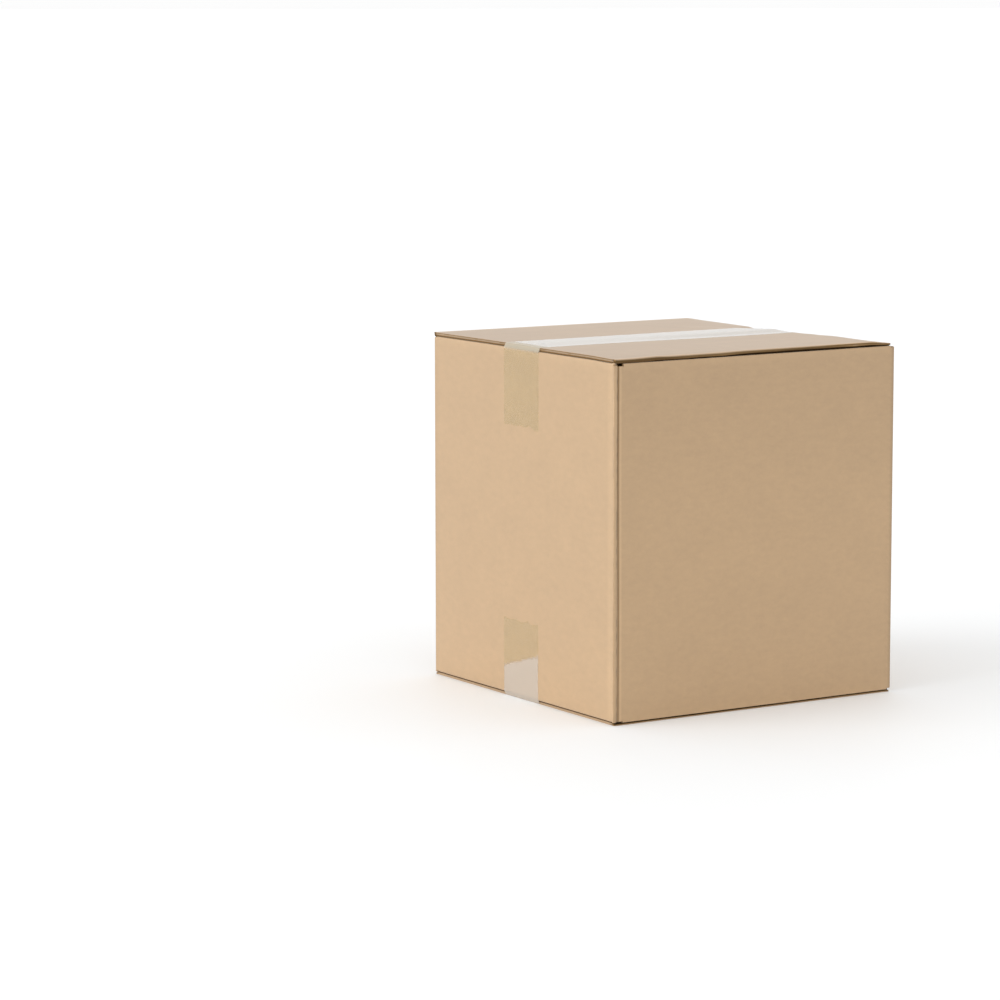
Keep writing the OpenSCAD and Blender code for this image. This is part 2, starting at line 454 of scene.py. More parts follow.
def board_section(top_rim, bottom_rim, radius):
    """Depth into the board and height of the points round its section, for each place along the blank:
    up the outer face, over the top rim, down the inner face and round the bottom rim."""
    levels = np.linspace(0, 1, PANEL_LEVELS)
    arc = np.radians(np.linspace(0, 90, RIM_POINTS + 1))[1:]
    low = BASE_Z + bottom_rim + radius
    high = TOP_Z - top_rim - radius
    walls = low[:, None] + (high - low)[:, None] * levels
    arc_depth = radius[:, None] * (1 - np.cos(arc))
    arc_rise = radius[:, None] * np.sin(arc)
    zero = np.zeros_like(walls)
    full = np.full((len(radius), 1), BOARD_T)
    depth = np.concatenate(
        [zero, arc_depth, full, zero + BOARD_T, full, arc_depth[:, ::-1], zero[:, :1]], 1)
    z = np.concatenate(
        [walls, high[:, None] + arc_rise, (TOP_Z - top_rim)[:, None], walls[:, ::-1],
         (BASE_Z + bottom_rim)[:, None], low[:, None] - arc_rise[:, ::-1], walls[:, :1]], 1)
    return depth, z


def joint_drift(outer, z):
    """How far the glued corner's groove has moved along x, by height."""
    at_joint = np.interp(outer[:, 0], JOINT_DRIFT_X, JOINT_DRIFT_SHARES)
    at_joint = at_joint * (outer[:, 1] < JOINT_DRIFT_Y)
    return JOINT_DRIFT * (1 - smooth(*JOINT_DRIFT_Z, z)) * at_joint[:, None]


def panel_tone(outer, z, depth):
    """Painted tone of the panels: a painted highlight along their rims, painted shade on their inner
    faces and towards the -Y panel's top, and painted light towards the -X panel's foot.
    """
    faded = 1 - FRONT_FADE * smooth(*FRONT_FADE_Z, z) * (outer[:, 1] < FRONT_FACE_Y)[:, None]
    paler = 1 + END_LIFT * smooth(*END_LIFT_Z, z) * (outer[:, 0] < END_FACE_X)[:, None]
    to_rim = np.minimum(TOP_Z - TOP_RIM - z, z - BASE_Z - BOTTOM_RIM)
    highlit = 1 + RIM_HIGHLIGHT * (1 - smooth(0, RIM_HIGHLIGHT_W, to_rim)) * (depth < RIM_HIGHLIGHT_DEPTH)
    return faded * paler * highlit * (1 - INSIDE_DARKER * smooth(INSIDE_FROM, 1, depth / BOARD_T))


def add_panels(shell):
    """The four panels and the glue tab, as one band of board."""
    outer, inner, top_rim, bottom_rim, radius, tone = panel_path()
    depth, z = board_section(top_rim, bottom_rim, radius)
    plan = outer[:, None] + (inner - outer)[:, None] * (depth / BOARD_T)[..., None]
    plan[..., 0] += joint_drift(outer, z)
    near_top = smooth(TOP_Z - YIELD_DEPTH, TOP_Z - TOP_RIM, z)
    z = z - rim_sag(outer[:, 0], outer[:, 1])[:, None] * near_top
    grid = np.concatenate([plan, z[..., None]], -1)
    shell.patch(grid, tone[:, None] * panel_tone(outer, z, depth))
    add_blank_end(shell, grid[0], TAB_EDGE_TONES)
    add_blank_end(shell, grid[-1], PANEL_EDGE_TONES)


def add_blank_end(shell, around, tones):
    """Closes the band at one end, given the points round the board there."""
    inner_start = PANEL_LEVELS + RIM_POINTS + 1
    inner_end = inner_start + PANEL_LEVELS
    wall, lining = around[:PANEL_LEVELS], around[inner_start:inner_end][::-1]
    share = np.linspace(0, 1, len(tones))[None, :, None]
    cap = wall[:, None] * (1 - share) + lining[:, None] * share
    shell.patch(cap, tones)
    top = np.concatenate([around[PANEL_LEVELS - 1:inner_start + 1], cap[-1, -2:0:-1]])
    bottom = np.concatenate([around[inner_end - 1:-1], cap[0, 0:-1]])
    shell.polygon(top, EDGE_CORNER_TONE)
    shell.polygon(bottom, EDGE_CORNER_TONE)


# The outer flaps

# Distances between points along a flap and across it, and how many points go over its fold's edge
# and down its nose
FLAP_STEP = 2.5 * MM
FACE_STEP = 3.5 * MM
NOSE_POINTS = 6

# Along the fold of the top flaps from -X to +X: how thick the crushed nose is, and its tones from
# its upper edge to its lower one
NOSE_X = np.array([-126.5, -95, -81, -60, -30, 0, 44, 70, 91, 114, 126.5]) * MM
NOSE_T = np.array([3.3, 3.2, 3.0, 2.7, 2.5, 2.4, 2.3, 2.4, 2.5, 2.1, 1.7]) * MM
# The nose's tones are painted shade on its undercut face
NOSE_TONES = np.array([
    [0.62, 0.32, 0.26, 0.28, 0.36],
    [0.62, 0.32, 0.26, 0.28, 0.36],
    [0.5, 0.3, 0.26, 0.28, 0.2],
    [0.52, 0.38, 0.38, 0.38, 0.2],
    [0.55, 0.42, 0.44, 0.48, 0.28],
    [0.56, 0.42, 0.42, 0.38, 0.2],
    [0.54, 0.38, 0.32, 0.24, 0.14],
    [0.46, 0.3, 0.44, 0.4, 0.2],
    [0.34, 0.26, 0.64, 0.62, 0.38],
    [0.46, 0.34, 0.44, 0.46, 0.42],
    [0.46, 0.3, 0.28, 0.32, 0.34],
])
# A swelling of the nose: its place along the fold, its height and its half width
SWELLING_X = -62 * MM
SWELLING = 0.2 * MM
SWELLING_W = 3 * MM

# The bottom flap's nose: its thickness, and shares of the way down it with their tones, painted
# shade that deepens towards the crease
BOTTOM_NOSE_T = 1.1 * MM
BOTTOM_NOSE_SHARES = [0, 0.4, 1]
BOTTOM_NOSE_TONES = [0.7, 0.5, 0.2]

# How far the nose is undercut, and how much more at the top beyond this stretch of x
UNDERCUT = 0.5 * MM
UNDERCUT_MORE = 0.5 * MM
UNDERCUT_X = (-45 * MM, -75 * MM)
UNDERCUT_POWER = 1.5

# Waves along the folds: height, size and seed
TOP_NOSE_WAVES = (0.12 * MM, 19 * MM, 3.1)
TOP_UNDERCUT_WAVES = (0.12 * MM, 17 * MM, 7.7)
BOTTOM_NOSE_WAVES = (0.12 * MM, 29 * MM, 11.3)
BOTTOM_UNDERCUT_WAVES = (0.1 * MM, 13 * MM, 5.9)

# How far the web reaches down behind its panel's rim, how far under the nose the crease ends where
# the web is cut away, and a small step that keeps the underside's first point apart from the next
WEB_LAP = 1.5 * MM
CREASE_GAP = 0.2 * MM
UNDER_STEP = 0.02 * MM

# Tones of a flap's parts: painted shade over the top flaps' faces, a painted highlight on the fold that
# fades as it rolls down, painted shade in the crease, under the fold, on the underside and at the cut
# end's corner, and a little darker on the seam's edge
TOP_TONE = 0.82
FOLD_TONE = 1.03
FOLD_HIGHLIGHT_SPAN = (6 * MM, 1 * MM)
ROLL_FADE = 0.2
CREASE_TONE = 0.08
UNDER_FOLD_TONE = 0.2
UNDERSIDE_TONE = 0.4
SEAM_TONE = 0.85
CUT_CORNER_TONE = 0.3

# Down a flap's cut end: shares of the thickness, how many mm each is set back, and its tone, which
# shows the liners and the fluting with painted shade, most towards the flap's inner side
CUT_ROWS = [0, 0.1, 0.24, 0.4, 0.6, 0.8, 1]
CUT_RECESS = [0, 0.05, 0.35, 0.1, 0.1, 0.25, 0]
TOP_CUT_TONES = [0.9, 0.72, 0.5, 0.66, 0.64, 0.5, 0.36]
BOTTOM_CUT_TONES = [1.0, 1.0, 0.86, 0.94, 0.9, 0.7, 0.34]
THICKNESS_ROWS = np.linspace(0, 1, 2 * len(CUT_ROWS) - 1)
SEAM_ROWS = THICKNESS_ROWS[-2:0:-1]

# Roughness along the cut ends: its share, its size and its seed
CUT_ROUGH = 0.12
CUT_ROUGH_SIZE = 1.3 * MM
CUT_ROUGH_SEED = (4.2, 1.7)

# How far the front top flap's corner is blunted at +X, and the rear one reaches out at -X, and
# over how much of their length and width
BLUNTED = 2.4 * MM
BLUNTED_W = 16 * MM
REACHED = 0.7 * MM
REACHED_W = (90 * MM, 20 * MM)
SHIFTED_L = 9 * MM

# Where a top flap lies low over its panel's rim, its nose is squeezed: the space that is kept over
# the rim and added to the nose's thickness, and the least share that the nose is squeezed to
NOSE_SPACE = 0.3 * MM
RIM_SPACE = 0.1 * MM
LEAST_SQUEEZE = 0.3


def nose(x, top):
    """Thickness of an outer flap's crushed nose and how far it is undercut, along the fold."""
    if not top:
        thick = BOTTOM_NOSE_T + waves(x, *BOTTOM_NOSE_WAVES)
        return thick, UNDERCUT + waves(x, *BOTTOM_UNDERCUT_WAVES)
    thick = np.interp(x, NOSE_X, NOSE_T) + waves(x, *TOP_NOSE_WAVES)
    thick += SWELLING * smooth(SWELLING_W, 0, np.abs(x - SWELLING_X))
    undercut = UNDERCUT + UNDERCUT_MORE * smooth(*UNDERCUT_X, x) + waves(x, *TOP_UNDERCUT_WAVES)
    return thick, undercut


def nose_tone(x, share, top):
    """Painted shade at shares of the way down the nose, for each place along the fold."""
    if not top:
        tones = np.interp(share, BOTTOM_NOSE_SHARES, BOTTOM_NOSE_TONES)
        return np.broadcast_to(tones, (len(x), len(share)))
    marks = np.linspace(0, 1, NOSE_TONES.shape[1])
    at_x = np.array([np.interp(x, NOSE_X, tones) for tones in NOSE_TONES.T]).T
    return np.array([np.interp(share, marks, row) for row in at_x])


def face_tone(depth, top):
    """Painted tone of an outer flap's face: painted shade over the top flaps, and a painted highlight
    along the fold.
    """
    plain = TOP_TONE if top else 1
    return plain + (FOLD_TONE - plain) * smooth(*FOLD_HIGHLIGHT_SPAN, depth)


def flap_section(x, face, web, top):
    """Depth from the long side, drop from the face and tone of the points round a flap's section:
    its face from the seam to the fold, the crushed nose, the web that joins it to its panel,
    its underside and the seam's cut edge. web says where along the fold the web is."""
    flap_t = TOP_FLAP_T if top else BOTTOM_FLAP_T
    rim = TOP_RIM if top else BOTTOM_RIM
    thick, undercut = nose(x, top)
    roll = np.radians(np.linspace(90, 0, NOSE_POINTS + 1))[1:]
    down = np.linspace(0, 1, NOSE_POINTS + 1)[1:]
    ones = np.ones((len(x), 1))
    web_drop = np.where(web, rim + WEB_LAP, np.minimum(thick + CREASE_GAP, rim))[:, None]
    depth = np.concatenate([
        ones * face, ones * EDGE_R * (1 - np.cos(roll)), undercut[:, None] * down ** UNDERCUT_POWER,
        ones * CREASE_DEPTH, ones * CREASE_DEPTH, ones * BOARD_T, ones * BOARD_T,
        ones * face[::-1], ones * FLAP_REACH + SEAM_ROWS * 0, ones * FLAP_REACH], 1)
    drop = np.concatenate([
        ones * face * 0, ones * EDGE_R * (1 - np.sin(roll)), EDGE_R + (thick - EDGE_R)[:, None] * down,
        thick[:, None], web_drop, web_drop, ones * flap_t + UNDER_STEP,
        ones * face * 0 + flap_t, ones * SEAM_ROWS * flap_t, ones * 0], 1)
    tone = np.concatenate([
        ones * face_tone(face, top), ones * (FOLD_TONE - ROLL_FADE * (1 - np.sin(roll))),
        nose_tone(x, down, top), ones * np.full(3, CREASE_TONE), ones * UNDER_FOLD_TONE,
        ones * face * 0 + UNDERSIDE_TONE, ones * SEAM_ROWS * 0 + SEAM_TONE, ones], 1)
    return depth, drop, tone


def add_outer_flap(shell, top, side):
    """side is -1 for the flap hinged at -Y and 1 for the one at +Y."""
    hole = HOLE_X if side < 0 else -FLAP_END
    x = steps(-FLAP_END, FLAP_END, FLAP_STEP, hole)
    web = np.arange(len(x)) >= np.searchsorted(x, hole, "right") - 1
    face = steps(BOARD_T, FLAP_REACH, FACE_STEP)[::-1]
    depth, drop, tone = flap_section(x, face, web, top)
    grid = place_flap(x[:, None], depth, drop, top, side)
    shell.patch(grid, tone)
    for i, outward in ((0, -1), (-1, 1)):
        add_cut_end(shell, grid[i], x[i], outward, face, top, side)


def add_cut_end(shell, around, x, outward, face, top, side):
    """Closes an outer flap at one end, given the points round it there."""
    count = len(face)
    under = len(around) - count - len(SEAM_ROWS) - 1
    flap_t = TOP_FLAP_T if top else BOTTOM_FLAP_T
    depth = np.broadcast_to(face[:, None], (count, len(THICKNESS_ROWS)))
    recess, tones = cut_edge(face, top)
    recess[-1] = recess[:, 0] = recess[:, -1] = 0
    cap = place_flap(x - outward * recess, depth, THICKNESS_ROWS * flap_t + depth * 0, top, side)
    cap[:, 0], cap[:, -1] = around[:count], around[under:under + count][::-1]
    cap[0, 1:-1] = around[-2:-2 - len(SEAM_ROWS):-1]
    shell.patch(cap, tones)
    shell.polygon(np.concatenate([around[count - 1:under + 1], cap[-1, -2:0:-1]]), CUT_CORNER_TONE)


def cut_edge(places, top):
    """How far a flap's cut end stands back and its tone, at places along it and through its thickness."""
    depth = np.interp(THICKNESS_ROWS, CUT_ROWS, CUT_RECESS)
    tone = np.interp(THICKNESS_ROWS, CUT_ROWS, TOP_CUT_TONES if top else BOTTOM_CUT_TONES)
    rough = np.array([noise.noise(Vector((p / CUT_ROUGH_SIZE, *CUT_ROUGH_SEED))) for p in places])
    rough = CUT_ROUGH * rough[:, None]
    return (depth + rough * (depth > 0)) * MM, tone * (1 + rough * (depth > 0))


def end_shift(x, depth, side):
    """How far the top flaps' cut ends are out of line. At +X the front one is blunted at its fold,
    and at -X the rear one reaches out to its panel's corner."""
    if side < 0:
        return -BLUNTED * smooth(FLAP_END - SHIFTED_L, FLAP_END, x) * smooth(BLUNTED_W, 0, depth)
    return -REACHED * smooth(-FLAP_END + SHIFTED_L, -FLAP_END, x) * smooth(*REACHED_W, depth)


def place_flap(x, depth, drop, top, side):
    """Turns depth from the long face and drop from the flap's face into places on the box."""
    x, depth, drop = np.broadcast_arrays(x, depth, drop)
    if top:
        x = x + end_shift(x, depth, side)
    y = side * (HALF_W - depth)
    if not top:
        return np.stack([x, y, BASE_Z + drop], -1)
    sag = top_sag(x, y)
    lower = rim_sag(x, y * 0 + side * HALF_W)
    rim = TOP_RIM + TOP_NOTCH * (x > HALF_L - SLOT_W / 2)
    nose_t = np.interp(x, NOSE_X, NOSE_T) + NOSE_SPACE
    squeeze = np.clip((rim + lower - sag - RIM_SPACE) / nose_t, LEAST_SQUEEZE, 1)
    at_fold = depth < BOARD_T - TINY
    on_web = (depth < BOARD_T + TINY) & (drop > TOP_RIM - TINY)
    hanging = sag + drop * np.where(at_fold, squeeze, 1)
    return np.stack([x, y, TOP_Z - np.where(on_web, lower + drop, hanging)], -1)


# The inner flaps, under the outer ones

INNER_STEP_X = 4 * MM
INNER_STEP_Y = 6 * MM
# Painted shade on the inner flaps under the outer ones, near black on the top ones' edges
INNER_FACE_TONE = 0.5
TOP_INNER_EDGE_TONE = 0.03
BOTTOM_INNER_EDGE_TONE = 0.3


def add_inner_flap(shell, top, side):
    """side is -1 for the flap hinged at -X and 1 for the one at +X."""
    half = HALF_W - BOARD_T - INNER_SIDE_GAP
    y = steps(-half, half, INNER_STEP_Y)
    depth = steps(BOARD_T - INNER_HINGE_LAP, HALF_L - INNER_GAP / 2, INNER_STEP_X)
    rim = (TOP_END_RIM if top else BOTTOM_END_RIM) + LAYER_GAP
    drops = np.array([rim, rim + BOARD_T])
    x = side * (HALF_L - depth)

    def place(px, py, drop):
        """Places at a drop below the top's face or above the base."""
        px, py, drop = np.broadcast_arrays(px, py, drop)
        sag = top_sag(np.clip(px, -FLAP_END, FLAP_END), py) if top else 0
        return np.stack([px, py, TOP_Z - drop - sag if top else BASE_Z + drop], -1)

    for drop in drops:
        shell.patch(place(x[None, :], y[:, None], drop), INNER_FACE_TONE)
    edge_tone = TOP_INNER_EDGE_TONE if top else BOTTOM_INNER_EDGE_TONE
    for end in (0, -1):
        shell.patch(place(x[end], y[:, None], drops[None, :]), edge_tone)
        shell.patch(place(x[:, None], y[end], drops[None, :]), edge_tone)


def build_carton():
    """The folded blank: its panels, its glue tab and its eight flaps."""
    shell = Shell()
    add_panels(shell)
    for top in (True, False):
        for side in (-1, 1):
            add_outer_flap(shell, top, side)
            add_inner_flap(shell, top, side)
    # The second material is a matte copy of the kraft for the faces with painted shade
    materials = [kraft_material("kraft_board", 1), kraft_material("kraft_shaded_matte", 0)]
    piece = shell.build("carton_board", materials, BOARD_SHARP)
    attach(piece, "root")
    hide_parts("carton")
    return piece


# Tape

# Torn ends, in mm: places across the tape, and the leg's length there from the carton's top or base
TOP_TEAR = np.array([
    (-24, 63), (-17.8, 63.2), (-12.3, 59.6), (-5.3, 61.8),
    (1.7, 60.7), (7.3, 62), (12.9, 60.9), (24, 61.7)])
BOTTOM_TEAR = np.array([
    (-24, 60.1), (-11.9, 58.8), (-9.8, 61.2), (-4.2, 59.6),
    (2.8, 59.3), (7, 60.7), (14.1, 59.3), (24, 60.2)])
TOOTH_DEPTH = 0.5 * MM
TOOTH_UNEVEN = 0.6
TOOTH_UNEVEN_SIZE = 6 * MM

# Points across the tape and along a leg, a little closer together towards its torn end, and the
# distance between points along the flat stretch
TAPE_COLUMNS = 73
LEG_ROWS = 46
LEG_CROWDING = 0.9
TAPE_STEP = 2 * MM

# Seeds of the torn ends at -X, and how much further the seed at +X is
TOP_TAPE_SEED = 41.0
BOTTOM_TAPE_SEED = 87.0
NEXT_SEED = 20


def torn_end(across, tear, seed):
    """Length of a leg across the tape's width: the dispenser's teeth, torn unevenly."""
    phase = across / TOOTH_PITCH
    teeth = np.abs(phase - np.round(phase)) * 2
    length = np.interp(across, tear[:, 0] * MM, tear[:, 1] * MM)
    return length + TOOTH_DEPTH * teeth * (1 + waves(across, TOOTH_UNEVEN, TOOTH_UNEVEN_SIZE, seed))


def leg_strands(start, tear, across, seed):
    """Heights below the face of a leg's rows, from the bridge to the torn end, for each place across."""
    share = np.linspace(0, 1, LEG_ROWS) ** LEG_CROWDING
    return start + (torn_end(across, tear, seed) - start)[None, :] * share[:, None]


def tape_grid(top, across, y, seed):
    """Rows along the tape from one torn end to the other, as places on the tape's underside."""
    tear = TOP_TEAR if top else BOTTOM_TEAR
    starts = [BRIDGE + (top_sag(end, y) if top else 0 * y) for end in (-FLAP_END, FLAP_END)]
    near = leg_strands(starts[0], tear, across, seed)
    far = leg_strands(starts[1], tear, -across, seed + NEXT_SEED)
    out = HALF_L + TAPE_LIFT
    x = steps(-FLAP_END, FLAP_END, TAPE_STEP)
    flat_y = np.broadcast_to(y, (len(x), len(y)))
    flat_x = np.broadcast_to(x[:, None], flat_y.shape)
    sag = top_sag(flat_x, flat_y) if top else flat_x * 0
    drop = np.concatenate([near[::-1], sag, far])
    leg_y = np.broadcast_to(y, near.shape)
    plan_x = np.concatenate([leg_y * 0 - out, flat_x, leg_y * 0 + out])
    plan_y = np.concatenate([leg_y, flat_y, leg_y])
    lift = np.concatenate([leg_y * 0, flat_x * 0 + TAPE_LIFT, leg_y * 0])
    z = TOP_Z - drop + lift if top else BASE_Z + drop - lift
    return np.stack([plan_x, plan_y, z], -1)


def tape_outward(grid, top):
    """The way that the tape faces at each point: along x on the legs, up or down between them."""
    outward = np.zeros_like(grid)
    outward[..., 2] = 1 if top else -1
    outward[:LEG_ROWS] = (-1, 0, 0)
    outward[-LEG_ROWS:] = (1, 0, 0)
    bend = math.sqrt(0.5)
    outward[LEG_ROWS] = (-bend, 0, outward[LEG_ROWS, 0, 2] * bend)
    outward[-LEG_ROWS - 1] = (bend, 0, outward[-LEG_ROWS - 1, 0, 2] * bend)
    return outward


def build_tape(name, node, top, material, seed):
    """One strip of tape with its two legs. Its outer face has the tone 1, and its other faces 0."""
    centre = TOP_TAPE_Y if top else BOTTOM_TAPE_Y
    across = np.linspace(-TAPE_W / 2, TAPE_W / 2, TAPE_COLUMNS)
    grid = tape_grid(top, across, across + centre, seed)
    outside = grid + tape_outward(grid, top) * TAPE_T
    shell = Shell()
    shell.patch(outside, 1)
    shell.patch(grid, 0)
    for edge in ((0, slice(None)), (-1, slice(None)), (slice(None), 0), (slice(None), -1)):
        shell.patch(np.stack([grid[edge], outside[edge]], 1), 0)
    piece = shell.build(name, [material], FILM_SHARP)
    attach(piece, "root")
    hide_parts(node)
    return piece


# Materials


class Nodes:
    """Short ways to add and join shader nodes in one material or world."""

    def __init__(self, owner):
        owner.use_nodes = True
        self.owner = owner
        self.tree = owner.node_tree
        self.tree.nodes.clear()

    def node(self, kind, inputs=None, **settings):
        """Adds a node, and sets or joins its inputs."""
        made = self.tree.nodes.new("ShaderNode" + kind)
        for key, value in settings.items():
            setattr(made, key, value)
        for key, value in (inputs or {}).items():
            self.put(made.inputs[key], value)
        return made

    def put(self, socket, value):
        """Joins a socket or a node's first output to a socket, or sets the socket to a value."""
        if isinstance(value, bpy.types.NodeSocket):
            self.tree.links.new(value, socket)
        elif isinstance(value, bpy.types.Node):
            self.tree.links.new(value.outputs[0], socket)
        else:
            socket.default_value = value

    def math(self, operation, a, b=0.0):
        return self.node("Math", {0: a, 1: b}, operation=operation).outputs[0]

    def add(self, first, *others):
        """The sum of values, added from the left."""
        total = first
        for value in others:
            total = self.math("ADD", total, value)
        return total

    def times(self, a, b):
        return self.math("MULTIPLY", a, b)

    def minus(self, a, b):
        return self.math("SUBTRACT", a, b)

    def remap(self, value, low, high, to_low=0.0, to_high=1.0, smooth_step=False):
        inputs = {0: value, 1: low, 2: high, 3: to_low, 4: to_high}
        kind = "SMOOTHSTEP" if smooth_step else "LINEAR"
        return self.node("MapRange", inputs, interpolation_type=kind).outputs[0]

    def noise(self, place, scale, detail=2.0, rough=0.5):
        inputs = {"Vector": place, "Scale": scale, "Detail": detail, "Roughness": rough}
        return self.node("TexNoise", inputs).outputs[0]

    def stretched(self, place, scale):
        return self.node("Mapping", {"Vector": place, "Scale": scale}).outputs[0]

    def parts(self, vector):
        return self.node("SeparateXYZ", {0: vector}).outputs

    def joined(self, x, y, z):
        return self.node("CombineXYZ", {0: x, 1: y, 2: z}).outputs[0]

    def times_colour(self, a, b):
        return self.node("VectorMath", {0: a, 1: b}, operation="MULTIPLY")

    def mix(self, share, a, b):
        """A colour from a at share 0 to b at share 1."""
        made = self.node("Mix", data_type="RGBA")
        self.put(made.inputs[0], share)
        self.put(made.inputs[6], a)
        self.put(made.inputs[7], b)
        return made.outputs[2]

    def finish(self, shader, output="OutputMaterial"):
        self.node(output, {0: shader})
        return self.owner


KRAFT = (0.479, 0.305, 0.150)
# Where the painted tone is low, in painted shade, green and blue fall more than red
SHADE_BROWNING = (1.0, 1.05, 1.13)

# The paper's patterns: each noise's scale, detail and roughness, and how it is stretched in x, y and z
CLOUDS_NOISE = (30, 3)
MOTTLE_NOISE = (170, 4, 0.62)
MOTTLE_STRETCH = (0.7, 0.7, 1.3)
FLUTING_NOISE = (140, 4, 0.75)
FLUTING_STRETCH = (0.06, 1, 1)
FIBRE_NOISE = (1500, 2, 0.6)
FIBRE_STRETCH = (0.3, 1, 0.3)
SPECKS_NOISE = (2100, 1)
SPECKS_ABOVE = (0.68, 0.8)

# How far each lightens and darkens the paper. The fluting shows on level faces only.
CLOUDS = 0.02
MOTTLE = 0.048
FIBRE = 0.02
FLUTING = 0.07
SPECKS = 0.03
LEVEL_FACES = (0.6, 0.9)

# Height of the paper's grain, and the shares of it that two of the patterns have
GRAIN_DEPTH = 0.1 * MM
GRAIN_STRENGTH = 0.15
MOTTLE_HEIGHT = 0.5
FIBRE_HEIGHT = 0.35

# The paper's faint gloss and sheen
KRAFT_ROUGHNESS = 0.55
KRAFT_IOR = 1.8
KRAFT_SPECULAR = 0.5
KRAFT_SHEEN = 0.25
SHEEN_ROUGHNESS = 0.5


def kraft_material(name, gloss):
    """Kraft paper, darkened or lightened by the painted tone. gloss is 1 for the board and 0 for its
    matte copy on the faces with painted shade. Where the tone is low the colour is also browner."""
    n = Nodes(bpy.data.materials.new(name))
    coord = n.node("TexCoord")
    place = coord.outputs["Object"]
    tone = n.node("Attribute", attribute_name="tone").outputs["Fac"]
    clouds = n.noise(place, *CLOUDS_NOISE)
    mottle = n.noise(n.stretched(place, MOTTLE_STRETCH), *MOTTLE_NOISE)
    fluting = n.noise(n.stretched(place, FLUTING_STRETCH), *FLUTING_NOISE)
    level = n.remap(n.parts(coord.outputs["Normal"])[2], *LEVEL_FACES)
    fibre = n.noise(n.stretched(place, FIBRE_STRETCH), *FIBRE_NOISE)
    specks = n.remap(n.noise(place, *SPECKS_NOISE), *SPECKS_ABOVE)
    value = n.add(
        n.remap(clouds, 0.3, 0.7, -CLOUDS, CLOUDS),
        n.remap(mottle, 0.25, 0.75, -MOTTLE, MOTTLE),
        n.remap(fibre, 0.2, 0.8, -FIBRE, FIBRE),
        n.times(n.remap(fluting, 0.25, 0.75, -FLUTING, FLUTING), level))
    value = n.add(n.minus(value, n.times(specks, SPECKS)), 1.0)
    shade_browned = [n.times(value, n.math("POWER", tone, power)) for power in SHADE_BROWNING]
    colour = n.times_colour(KRAFT, n.joined(*shade_browned))
    height = n.add(n.times(mottle, MOTTLE_HEIGHT), n.times(fibre, FIBRE_HEIGHT))
    bump = n.node("Bump", {"Strength": GRAIN_STRENGTH, "Distance": GRAIN_DEPTH, "Height": height})
    shader = n.node("BsdfPrincipled", {"Base Color": colour, "Normal": bump})
    shader.inputs["Roughness"].default_value = KRAFT_ROUGHNESS
    shader.inputs["IOR"].default_value = KRAFT_IOR
    shader.inputs["Specular IOR Level"].default_value = KRAFT_SPECULAR * gloss
    shader.inputs["Sheen Weight"].default_value = KRAFT_SHEEN * gloss
    shader.inputs["Sheen Roughness"].default_value = SHEEN_ROUGHNESS
    return n.finish(shader)


# The film's two faces each tint what is seen through it, a little unevenly
FILM_CLEAR = (0.9955, 0.999, 0.967, 1)
FILM_HAZY = (1, 0.99, 0.97, 1)
BLOTCHES = (0.973, 0.988)
BLOTCH_NOISE = (240, 1.5)
BLOTCH_STRETCH = (1, 1, 0.6)

# Colours of the milky veil on the legs of either tape, and on the flat stretches, where the veil is
# haze and also a painted reflection of the pale studio
TOP_VEIL = (0.69, 0.62, 0.49, 1)
BOTTOM_VEIL = (0.715, 0.635, 0.547, 1)
FLAT_HAZE_AND_REFLECTION = (0.8, 0.82, 0.84, 1)

# How much the veil covers where the film is stuck, and how much more where it is milky
STUCK_COVER = 0.035
HAZE_COVER = 0.58
STREAKS = (0.85, 1.15)
STREAK_NOISE = (420, 2)
STREAK_STRETCH = (0.04, 1, 1)

# Half widths of the haze's border on the legs and of the one on the flat stretch, the share of the
# wobble that the second one has, and the wobble's noise
HAZE_BORDER = 1.5 * MM
END_BORDER = 0.4 * MM
END_WOBBLE = 0.2
WOBBLE_NOISE = (330, 5, 0.7)

# The film's gloss: at a right angle, how much more at a flat one, and how fast it grows between
FILM_ROUGHNESS = 0.1
GLOSS_LEAST = 0.02
GLOSS_MORE = 0.9
GLOSS_POWER = 4.7
HAZE_DULLS = 0.6

# Each tape is milky on its legs to one side of a line across them, given by its height at y = 0,
# its slope and the side, and on the last stretch at each end of its flat part. Then come the
# veil's cover on that flat part, where the veil is haze and also a painted reflection, and how
# ragged the line is.
TOP_LOOK = {
    "veil_colour": TOP_VEIL, "haze_at": TOP_Z - 4 * MM, "haze_slope": 0.0, "haze_side": 1,
    "ends_hazy": 8.7 * MM, "flat_cover": 0.22, "ragged": 1.6 * MM}
BOTTOM_LOOK = {
    "veil_colour": BOTTOM_VEIL, "haze_at": 29.6 * MM, "haze_slope": -0.28, "haze_side": -1,
    "ends_hazy": 1.5 * MM, "flat_cover": 0.0, "ragged": 7 * MM}


def film_haze(n, place, haze_at, haze_slope, haze_side, ends_hazy, ragged):
    """How milky the film is, and 1 on its legs and milky ends or 0 on its flat stretch."""
    x, y, z = n.parts(place)
    wobble = n.times(n.minus(n.noise(place, *WOBBLE_NOISE), 0.5), ragged)
    line = n.add(n.times(y, haze_slope), haze_at)
    beyond = n.times(n.minus(n.add(z, wobble), line), haze_side)
    reach = n.add(n.math("ABSOLUTE", x), n.times(wobble, END_WOBBLE))
    border = HALF_L - ends_hazy
    near_end = n.remap(reach, border - END_BORDER, border + END_BORDER)
    haze = n.times(n.remap(beyond, -HAZE_BORDER, HAZE_BORDER, smooth_step=True), near_end)
    return haze, near_end


